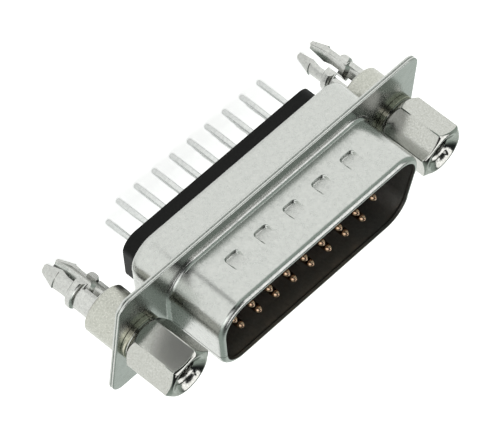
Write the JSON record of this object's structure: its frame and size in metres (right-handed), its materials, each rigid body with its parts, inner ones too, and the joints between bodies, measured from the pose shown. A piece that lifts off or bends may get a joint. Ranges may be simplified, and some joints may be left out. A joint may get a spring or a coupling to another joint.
{
  "type": "d-subminiature board plug",
  "caption": "Straight board-mount D-subminiature plug: drawn steel shells round rows of contact pins, with hexagonal jack sockets and split board locks.",
  "frame": {"origin": "middle of the pin field on the board's top face, midway between the two board locks", "axes": "+Z is the mating direction, away from the board; +X runs along the flange from the left jack socket to the right one; the wide side of the D faces -Y"},
  "size_m": [0.0388, 0.013, 0.0165],
  "materials": {
    "tinned_steel": "satin tin plate on drawn steel sheet",
    "black_plastic": "moulded, fine matte",
    "nickel_plate": "bright nickel plate on turned and milled brass",
    "yellow_zinc": "dull passivated zinc with a faint straw cast, on spring steel",
    "matte_tin": "matte tin plate on a turned barrel",
    "spring_strip": "tin plate on a rolled and slotted spring peg",
    "contact_alloy": "gold flash in the nose, bright tin on the solder tails"
  },
  "bodies": {
    "root": {"front_shell": "tinned_steel", "rear_shell": "tinned_steel", "front_insulator": "black_plastic", "rear_insulator": "black_plastic", "jack_socket_left": "nickel_plate", "jack_socket_right": "nickel_plate", "lock_washer_left": "yellow_zinc", "lock_washer_right": "yellow_zinc", "threaded_barrel_left": "matte_tin", "threaded_barrel_right": "matte_tin", "board_lock_left": "spring_strip", "board_lock_right": "spring_strip", "pin_01": "contact_alloy", "pin_02": "contact_alloy", "pin_03": "contact_alloy", "pin_04": "contact_alloy", "pin_05": "contact_alloy", "pin_06": "contact_alloy", "pin_07": "contact_alloy", "pin_08": "contact_alloy", "pin_09": "contact_alloy", "pin_10": "contact_alloy", "pin_11": "contact_alloy", "pin_12": "contact_alloy", "pin_13": "contact_alloy", "pin_14": "contact_alloy", "pin_15": "contact_alloy", "pin_16": "contact_alloy", "pin_17": "contact_alloy", "pin_18": "contact_alloy", "pin_19": "contact_alloy", "pin_20": "contact_alloy", "pin_21": "contact_alloy", "pin_22": "contact_alloy", "pin_23": "contact_alloy", "pin_24": "contact_alloy", "pin_25": "contact_alloy", "pin_26": "contact_alloy"}
  },
  "joints": []
}
